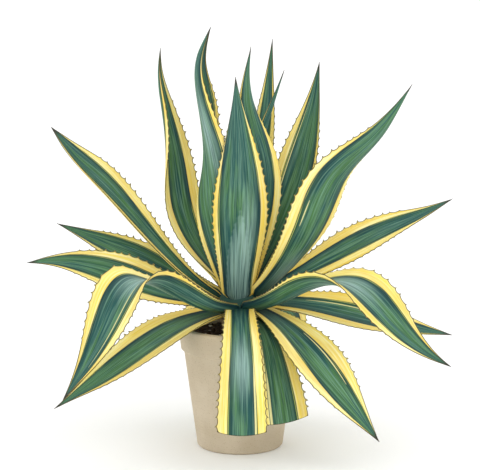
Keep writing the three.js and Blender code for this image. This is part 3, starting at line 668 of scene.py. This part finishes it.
def blade_points(leaf, t, u, side, out):
    """Points of the blade at t along it and u across it. From the midrib the section runs out in small
    steps whose slope is fold times (the share of u)^0.8, then by out past the margin. side 1 is the
    inner surface, -1 the outer one and 0 the middle. The blade is as thick as its keel, which falls off
    as 1 - |u|^2.2, plus its edge."""
    middle, _, across, inner, half_width, fold = sections(leaf, t)
    sign = np.where(u < 0, -1.0, 1.0)
    share = (np.arange(FOLD_STEPS) + 0.5) / FOLD_STEPS
    end = sign * fold * np.abs(u) ** FOLD_POWER
    slope = end[:, None] * share**FOLD_POWER
    run = (half_width * u / FOLD_STEPS)[:, None]
    ahead = across * np.cos(end)[:, None] + inner * np.sin(end)[:, None]
    normal = inner * np.cos(end)[:, None] - across * np.sin(end)[:, None]
    point = middle + across * (run * np.cos(slope)).sum(axis=1, keepdims=True)
    point += inner * (run * np.sin(slope)).sum(axis=1, keepdims=True)
    point += ahead * (sign * out)[:, None]
    slimness = (1 - BLADE_TAPER * t) * np.minimum(1, half_width / KEEL_HALF_WIDTH)
    keel = BLADE_THICKNESS * slimness * (1 - np.abs(u) ** KEEL_POWER)
    edge = np.minimum(EDGE_HALF_THICKNESS, half_width * SPINE_FLATNESS)
    height = side * (edge + keel * np.where(side > 0, KEEL_INSIDE, 1 - KEEL_INSIDE))
    return point + normal * height[:, None]


def tooth_places(leaf, dice):
    """Shares of the length where one margin has its hooks, and their sizes. They stand close and small at
    the base and reach their full spacing and size before the middle, each a little off its place."""
    length = leaf["length"] * leaf.get("cut", 1)
    scale = min(1, leaf["width"] / TOOTH_FULL_WIDTH)
    share = np.linspace(0, 1, 400)
    grown = smoothstep(share / TEETH_GROWN_AT)
    spacing = (TOOTH_SPACING_BASE + (TOOTH_SPACING - TOOTH_SPACING_BASE) * grown) * (0.55 + 0.45 * scale)
    to = TOOTHED_TO_CUT if "cut" in leaf else TOOTHED_TO
    step = length * (to - TOOTHED_FROM) / (len(share) - 1)
    count = np.concatenate([[0], (step / spacing[:-1]).cumsum()])
    teeth = int(count[-1])
    places = np.arange(teeth) + 0.5 + dice.uniform(-TOOTH_SHIFT, TOOTH_SHIFT, teeth)
    place_share = np.interp(places, count, share)
    size = scale * (0.5 + 0.5 * smoothstep(place_share / TEETH_GROWN_AT))
    size *= dice.uniform(*TOOTH_SIZES, teeth)
    size *= 1 - 0.45 * smoothstep((place_share - 0.75) / 0.25) * ("cut" not in leaf)
    return TOOTHED_FROM + (to - TOOTHED_FROM) * place_share, size


def scalloped(t, teeth, size):
    """How far the margin stands out at t: between two hooks it follows (2f-1)^2, lowest halfway."""
    first_gap, last_gap = teeth[1] - teeth[0], teeth[-1] - teeth[-2]
    posts = np.concatenate([[-1, teeth[0] - first_gap], teeth, [teeth[-1] + last_gap, 2]])
    sizes = np.concatenate([[0, 0], size, [0, 0]])
    n = np.clip(np.searchsorted(posts, t) - 1, 0, len(posts) - 2)
    f = (t - posts[n]) / (posts[n + 1] - posts[n])
    return SCALLOP_DEPTH * (sizes[n] * (1 - f) + sizes[n + 1] * f) * (2 * f - 1) ** 2


def hook_shapes(leaf, teeth, size, u):
    """Six-sided horns on one margin. Each runs out from inside the scallop's peak and leans towards the
    tip by lean times s^2, and thins out as (1-s)^0.8."""
    ones = np.ones(len(teeth))
    root = blade_points(leaf, teeth, u * ones, 0 * ones, SCALLOP_DEPTH * size - HOOK_ROOT)
    _, tangent, across, inner, _, fold = sections(leaf, teeth)
    slope = (u * fold)[:, None]
    outward = u * (across * np.cos(slope) + inner * np.sin(slope))
    normal = np.cross(tangent, outward)
    s = np.array(HOOK_RINGS)[:, None]
    angle = np.arange(HOOK_SIDES) / HOOK_SIDES * 2 * np.pi
    height, lean = HOOK_HEIGHT * size + HOOK_ROOT, HOOK_LEAN * size
    centre = (root[:, None] + outward[:, None] * (height[:, None, None] * s)
              + tangent[:, None] * (lean[:, None, None] * s**2))
    thin = (1 - s) ** 0.8 + 0.04
    wide = (HOOK_HALF_WIDTH * size)[:, None, None, None] * (thin * np.cos(angle))[None, :, :, None]
    thick = HOOK_HALF_THICKNESS * (thin * np.sin(angle))[None, :, :, None]
    rings = centre[:, :, None] + tangent[:, None, None] * wide + normal[:, None, None] * thick
    count = len(s) * HOOK_SIDES
    ring = np.arange(count).reshape(len(s), HOOK_SIDES)
    on = np.roll(ring, -1, axis=1)
    walls = np.stack([ring[:-1], ring[1:], on[1:], on[:-1]], axis=2).reshape(-1, 4)
    first = np.arange(len(teeth)) * count
    caps = [ring[0], ring[-1][::-1]]
    flip = slice(None, None, -1) if u > 0 else slice(None)
    faces = [(face[flip] + start).tolist() for start in first for face in [*walls, *caps]]
    return rings.reshape(-1, 3), faces


def skin_values(leaf, t, u, side, place, tone):
    """What the leaf's colours read at every vertex. across and along say where it lies. green_edge, sport
    and print_edge are how far it lies outside the green, the nearest cream stripe and the print, in
    shares of half the width. rim is how far it lies inside the margin, in metres. horn, the painted
    highlight, the painted shade towards the leaf's foot and the leaf's tone run from 0 to 1."""
    cut, length = leaf.get("cut"), leaf["length"]
    rim = sections(leaf, place)[4] * (1 - np.abs(u))
    if cut:
        rim = np.minimum(rim, (1 - t) * length * cut)
    right_green = along(leaf.get("green_right", GREEN_SHARES), t)
    left_green = along(leaf.get("green_left", GREEN_SHARES), t)
    green_share = np.where(u > 0, right_green, left_green)
    green_edge = np.abs(u) - green_share - np.where(side < 0, OUTER_GREEN * (1 - green_share), 0)
    # Painted highlights: wax-blue patches where light falls on the bends of the leaf.
    painted_highlight = np.zeros(len(t))
    for middle, across, long, wide in leaf.get("painted_highlight", []):
        painted_highlight = np.maximum(painted_highlight, np.exp(-(((t - middle) / long) ** 2) - ((u - across) / wide) ** 2))
    sport = np.ones(len(t))
    for middle, wide, start, end in leaf.get("stripes", []):
        share = np.clip((t - start) / (end - start), 0, 1)
        taper = np.sin(np.pi * share) ** 0.6 if end < 1 else smoothstep(share * 2.5)
        sport = np.minimum(sport, np.abs(u - middle) - wide * taper + STRIPE_GONE * (taper < 0.01))
    print_edge = np.ones(len(t))
    if "imprint" in leaf:
        middle, wide, top = leaf["imprint"]
        rise = np.clip(t / top, 0, 1)
        jag = np.abs((t * length / PRINT_TOOTH) % 1 - 0.5) * PRINT_JAG * rise
        print_edge = np.abs(u - middle) - wide * (1 - rise**2.2) + jag * (rise < 1) + 2 * (side >= 0)
    horn = 0 * t if cut else smoothstep((HORN_FROM - (1 - place) * length) / HORN_FADE)
    # The painted shade darkens each leaf over SHADED_LENGTH from its foot, where the leaves crowd.
    return {
        "across": u, "along": place * length, "rim": rim, "green_edge": green_edge, "sport": sport,
        "print_edge": print_edge, "horn": horn, "painted_highlight": painted_highlight,
        "depth": 1 - smoothstep(place * length / SHADED_LENGTH), "tone": np.full(len(t), tone),
    }


def make_leaf(leaf, number):
    """A closed blade with its hooks. Its section is a loop of two surfaces and two round margins, swept
    along the midrib, and each end is closed by faces between the two surfaces."""
    dice = np.random.default_rng(LEAF_SEED + number)
    measure(leaf)
    cut, length = leaf.get("cut"), leaf["length"]
    blade_end = 1 if cut else 1 - SPINE_LENGTH / length
    rows = np.linspace(0, blade_end, int(length * blade_end * (cut or 1) / ROW_SPACING))
    if not cut:
        spine_rows = np.linspace(0, 1, SPINE_ROWS + 1)[1:] ** 0.9
        rows = np.concatenate([rows, blade_end + (1 - blade_end) * spine_rows])
    stripe_edges = [
        middle + edge
        for middle, wide, _, _ in leaf.get("stripes", [])
        for edge in (-wide - STRIPE_BLUR, -wide, 0, wide, wide + STRIPE_BLUR)
    ]
    line = np.union1d(np.linspace(-1, 1, COLUMNS), stripe_edges)
    columns = len(line)
    loop_u = np.concatenate([line, [1], line[::-1], [-1]])
    loop_side = np.concatenate([np.ones(columns), [0], -np.ones(columns), [0]])
    t = np.repeat(rows, len(loop_u))
    u = np.tile(loop_u, len(rows))
    side = np.tile(loop_side, len(rows))
    right, left = tooth_places(leaf, dice), tooth_places(leaf, dice)
    margin = np.where(u > 0, scalloped(t, *right), scalloped(t, *left))
    needle = 1.0 if cut else smoothstep((1 - t) * length / SPINE_LENGTH)
    out = np.where(np.abs(u) == 1, margin + np.where(side == 0, EDGE_ROUND * needle, 0), 0)
    place = t * (cut - TRIM_ARC * u * u) if cut else t
    points = blade_points(leaf, place, u, side, out)

    rings, around = len(rows), len(loop_u)
    index = np.arange(rings * around).reshape(rings, around)
    on = np.roll(index, -1, axis=1)
    skin = np.stack([index[:-1], index[1:], on[1:], on[:-1]], axis=2).reshape(-1, 4)
    inner, outer = np.arange(columns), 2 * columns - np.arange(columns)
    caps = []
    for ring, order in ((index[0], 1), (index[-1], -1)):
        flat = np.stack([ring[inner[:-1]], ring[inner[1:]], ring[outer[1:]], ring[outer[:-1]]], axis=1)
        right_end = ring[[columns - 1, columns, columns + 1]]
        left_end = ring[[2 * columns, 2 * columns + 1, 0]]
        caps += [face[::order].tolist() for face in (*flat, right_end, left_end)]

    values = skin_values(leaf, t, u, side, place, leaf.get("tone", dice.uniform()))
    vertices, faces = [points], skin.tolist() + caps
    hook_start, hook_count = len(points), 0
    for (teeth, size), margin_u in ((right, 1.0), (left, -1.0)):
        at = teeth * (cut - TRIM_ARC) if cut else teeth
        hooks, hook_faces = hook_shapes(leaf, at, size, margin_u)
        faces += [[k + hook_start for k in face] for face in hook_faces]
        vertices.append(hooks)
        hook_start += len(hooks)
        hook_count += len(teeth)
    # The hooks carry no painted highlight and no painted shade.
    hook_values = {"rim": HOOK_RIM, "painted_highlight": 0.0, "depth": 0.0}
    hook_horn = np.tile(np.repeat(HOOK_HORN, HOOK_SIDES), hook_count)
    for key, numbers in values.items():
        on_hooks = hook_horn if key == "horn" else np.full(len(hook_horn), hook_values.get(key, 1.0))
        values[key] = np.concatenate([numbers, on_hooks])
    piece = add_piece(leaf["node"] + "_blade", np.vstack(vertices), faces, leaf_skin, values)
    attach(piece, "root")
    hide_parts(leaf["node"])


# Living leaf skin: smooth, with a thin coat of wax that leaves it half matt. Blue-grey patches on the
# bends are painted highlights, and each leaf is painted darker towards its foot as shade: the green
# deepens and the yellow turns gold. The green and the yellow run lengthwise in streaks. The margin is a
# brown horny line.
# The deep green is both the dark streaks and border and the painted shade, the gold is both the gold
# streaks and the painted shade, and the wax blue is both the neighbour's print and the painted
# highlights.
GREEN_DEEP_AND_SHADE = "#0f3236"
GREEN_MID = "#235450"
GREEN_GRASS = "#4c7a44"
GREEN_PALE = "#7ba78d"
WAX_BLUE_AND_HIGHLIGHT = "#93b3aa"
MARGIN_YELLOW = "#f6df68"
MARGIN_CREAM = "#fcf1ae"
MARGIN_GOLD_AND_SHADE = "#e3bc40"
LIME = "#b3bf62"
SPORT_CREAM = "#e9e2a0"
EDGE_BROWN = "#453f26"
HORN_BROWN = "#3f3c33"

# How often each kind of streak comes across half a leaf, along a metre of it, and from leaf to leaf. On a
# leaf 110 mm wide they are 18, 4 and 1.6 mm broad.
STREAKS = {"broad": (3.0, 6.0, 37.0), "streak": (15.0, 7.0, 53.0), "hair": (34.0, 13.0, 71.0)}

leaf_skin, tree, output = new_material("waxy_variegated_leaf")
value = {
    key: add_node(tree, "ShaderNodeAttribute", attribute_name=key).outputs["Fac"]
    for key in (
        "across", "along", "rim", "green_edge", "sport", "print_edge", "horn", "painted_highlight", "depth", "tone",
    )
}
place = add_node(tree, "ShaderNodeCombineXYZ", {
    "X": value["across"], "Y": value["along"], "Z": value["tone"],
}).outputs["Vector"]
noise = {}
for key, scale in STREAKS.items():
    stretched = add_node(tree, "ShaderNodeMapping", {"Vector": place, "Scale": scale})
    noise[key] = add_node(tree, "ShaderNodeTexNoise", {
        "Vector": stretched.outputs["Vector"], "Scale": 1.0, "Detail": 3.0, "Roughness": 0.55,
    }).outputs["Fac"]

# Sources that join two numbers: the tone shifts the grassy patches, the painted highlights lie in
# streaks, the green's edge wanders a little, and the lime line is told by its distance from the edge's
# inner side.
grass_place = add_node(tree, "ShaderNodeMath", {
    0: value["tone"], 1: 0.16, 2: noise["broad"],
}, operation="MULTIPLY_ADD")
highlight_streak = add_node(tree, "ShaderNodeMath", {
    0: value["painted_highlight"], 1: noise["streak"],
}, operation="MULTIPLY")
wander = add_node(tree, "ShaderNodeMath", {
    0: noise["hair"], 1: 0.07, 2: value["green_edge"],
}, operation="MULTIPLY_ADD")
lime_place = add_node(tree, "ShaderNodeMath", {0: value["green_edge"], 1: 0.045}, operation="ADD")
lime_distance = add_node(tree, "ShaderNodeMath", {0: lime_place.outputs[0]}, operation="ABSOLUTE")

# Each share goes from one number to another while its source goes from one place to another.
ramps = {
    "grassy": (grass_place.outputs[0], 0.50, 0.66, 0.0, 0.9),
    "pale_streak": (noise["streak"], 0.42, 0.66, 0.0, 0.6),
    # The painted highlights, laid in streaks.
    "highlight_share": (highlight_streak.outputs[0], 0.05, 0.6, 0.0, 1.0),
    "dark_hair": (noise["hair"], 0.44, 0.68, 0.0, 0.6),
    "near_yellow": (value["green_edge"], -0.30, -0.04, 0.0, 0.85),
    "creamy": (noise["streak"], 0.36, 0.62, 0.0, 1.0),
    "gold_hair": (noise["hair"], 0.46, 0.70, 0.0, 0.7),
    "gold_patch": (noise["broad"], 0.44, 0.56, 0.4, 0.0),
    "past_green": (wander.outputs[0], 0.022, 0.050, 0.0, 1.0),
    "lime_line": (lime_distance.outputs[0], 0.008, 0.022, 1.0, 0.0),
    "lime_patch": (noise["broad"], 0.42, 0.56, 0.0, 0.8),
    "sport": (value["sport"], -0.006, 0.012, 0.9, 0.0),
    "print_place": (value["print_edge"], -0.05, 0.03, 1.0, 0.0),
    "print_streak": (noise["streak"], 0.38, 0.62, 0.10, 0.65),
    "rim": (value["rim"], 0.0005, 0.0015, 0.95, 0.0),
    "roughness": (noise["streak"], 0.3, 0.7, 0.42, 0.56),
}
share = {
    key: add_node(tree, "ShaderNodeMapRange", {
        "Value": source, "From Min": start, "From Max": end, "To Min": low, "To Max": high,
    }).outputs["Result"]
    for key, (source, start, end, low, high) in ramps.items()
}
# Painted shade: the green deepens towards each leaf's foot, joined with the dark line along the yellow
# border.
green_depth = add_node(tree, "ShaderNodeMath", {
    0: value["depth"], 1: 0.8, 2: share["near_yellow"],
}, operation="MULTIPLY_ADD", use_clamp=True).outputs[0]
golden = add_node(tree, "ShaderNodeMath", {
    0: share["gold_hair"], 1: 0.45, 2: share["gold_patch"],
}, operation="MULTIPLY_ADD").outputs[0]
# Painted shade on the yellow: it turns gold towards each leaf's foot, on top of the gold streaks.
gold_and_painted_shade = add_node(tree, "ShaderNodeMath", {
    0: value["depth"], 1: 0.4, 2: golden,
}, operation="MULTIPLY_ADD", use_clamp=True).outputs[0]
lime_mask = add_node(tree, "ShaderNodeMath", {
    0: share["lime_line"], 1: share["lime_patch"],
}, operation="MULTIPLY").outputs[0]
print_mask = add_node(tree, "ShaderNodeMath", {
    0: share["print_place"], 1: share["print_streak"],
}, operation="MULTIPLY").outputs[0]

# The yellow is laid first, then the green, and past the green's edge the yellow shows. The lime line,
# the cream stripes, the print, the rim and the horn lie over both.
yellow_layers = ((share["creamy"], MARGIN_CREAM), (gold_and_painted_shade, MARGIN_GOLD_AND_SHADE))
green_layers = (
    (share["grassy"], GREEN_GRASS),
    (share["pale_streak"], GREEN_PALE),
    # Painted highlights of wax blue.
    (share["highlight_share"], WAX_BLUE_AND_HIGHLIGHT),
    (share["dark_hair"], GREEN_DEEP_AND_SHADE),
    # Painted shade towards the leaf's foot, with the dark line along the yellow border.
    (green_depth, GREEN_DEEP_AND_SHADE),
)
upper_layers = (
    (lime_mask, LIME),
    (share["sport"], SPORT_CREAM),
    (print_mask, WAX_BLUE_AND_HIGHLIGHT),
    (share["rim"], EDGE_BROWN),
    (value["horn"], HORN_BROWN),
)
yellow = linear(MARGIN_YELLOW)
for amount, paint in yellow_layers:
    yellow = add_node(tree, "ShaderNodeMix", {
        "Factor": amount, "A": yellow, "B": linear(paint),
    }, data_type="RGBA").outputs["Result"]
colour = linear(GREEN_MID)
for amount, paint in (*green_layers, (share["past_green"], yellow), *upper_layers):
    over = linear(paint) if isinstance(paint, str) else paint
    colour = add_node(tree, "ShaderNodeMix", {
        "Factor": amount, "A": colour, "B": over,
    }, data_type="RGBA").outputs["Result"]
skin_height = add_node(tree, "ShaderNodeMath", {
    0: noise["hair"], 1: 0.4, 2: noise["streak"],
}, operation="MULTIPLY_ADD")
skin_bump = add_node(tree, "ShaderNodeBump", {
    "Height": skin_height.outputs[0], "Strength": 0.5, "Distance": 0.0015,
})
leaf_shader = add_node(tree, "ShaderNodeBsdfPrincipled", {
    "Base Color": colour, "Roughness": share["roughness"], "Specular IOR Level": 0.2,
    "Normal": skin_bump.outputs["Normal"],
})
tree.links.new(leaf_shader.outputs["BSDF"], output.inputs["Surface"])

for number, leaf in enumerate(LEAVES):
    make_leaf(leaf, number)


# The floor: matt white studio paper that runs on out of sight. It isn't part of the plant, and its
# faint glow keeps it as white as the room.
FLOOR_REACH = 60.0
FLOOR_WHITE = "#f8f8f7"
FLOOR_GLOW = 0.04
floor_paper, tree, output = new_material("white_studio_floor")
floor_shader = add_node(tree, "ShaderNodeBsdfPrincipled", {
    "Base Color": linear(FLOOR_WHITE), "Roughness": 0.9, "Specular IOR Level": 0.1,
    "Emission Color": (1.0, 1.0, 1.0, 1.0), "Emission Strength": FLOOR_GLOW,
})
tree.links.new(floor_shader.outputs["BSDF"], output.inputs["Surface"])
floor_corners = np.array([[-1, -1, 0], [1, -1, 0], [1, 1, 0], [-1, 1, 0]]) * FLOOR_REACH
floor = add_piece("studio_floor", floor_corners, [[0, 1, 2, 3]], floor_paper)


# The light: a white room that lights everything evenly, a large soft window of light from the front
# right and above, and a weaker one from the left. Each window is turned to the middle of the plant.
ROOM_BRIGHTNESS = 1.2
LIT_POINT = (0.0, 0.0, 0.5)
WINDOWS = {
    "window_right": {"place": (1.7, -2.2, 2.6), "size": 1.6, "power": 15.0},
    "window_left": {"place": (-2.6, -1.8, 1.6), "size": 1.8, "power": 6.0},
}
world = bpy.data.worlds.new("white_room")
bpy.context.scene.world = world
world.use_nodes = True
world.node_tree.nodes.clear()
room_light = add_node(world.node_tree, "ShaderNodeBackground", {
    "Color": (1.0, 1.0, 1.0, 1.0), "Strength": ROOM_BRIGHTNESS,
})
add_node(world.node_tree, "ShaderNodeOutputWorld", {"Surface": room_light.outputs["Background"]})
for name, window in WINDOWS.items():
    lamp = bpy.data.lights.new(name, "AREA")
    lamp.size, lamp.energy = window["size"], window["power"]
    holder = bpy.data.objects.new(name, lamp)
    holder.location = window["place"]
    towards = Vector(LIT_POINT) - Vector(window["place"])
    holder.rotation_euler = towards.to_track_quat("-Z", "Y").to_euler()
    bpy.context.scene.collection.objects.link(holder)
bpy.context.scene.view_settings.view_transform = "Standard"


# The camera: a long lens aimed at the plant's middle, 3.6 metres off and looking down by 8 degrees.
CAMERA_DISTANCE = 3.6
CAMERA_ELEVATION = math.radians(8)
CAMERA_AIM_HEIGHT = 0.504
LENS_LENGTH = 114.9
SENSOR_WIDTH = 36.0
lens = bpy.data.cameras.new("long_lens")
lens.sensor_width = SENSOR_WIDTH
lens.lens = LENS_LENGTH
camera = bpy.data.objects.new("camera", lens)
camera.location = (
    0.0,
    -CAMERA_DISTANCE * math.cos(CAMERA_ELEVATION),
    CAMERA_AIM_HEIGHT + CAMERA_DISTANCE * math.sin(CAMERA_ELEVATION),
)
camera.rotation_euler = (math.pi / 2 - CAMERA_ELEVATION, 0, 0)
bpy.context.scene.collection.objects.link(camera)
bpy.context.scene.camera = camera
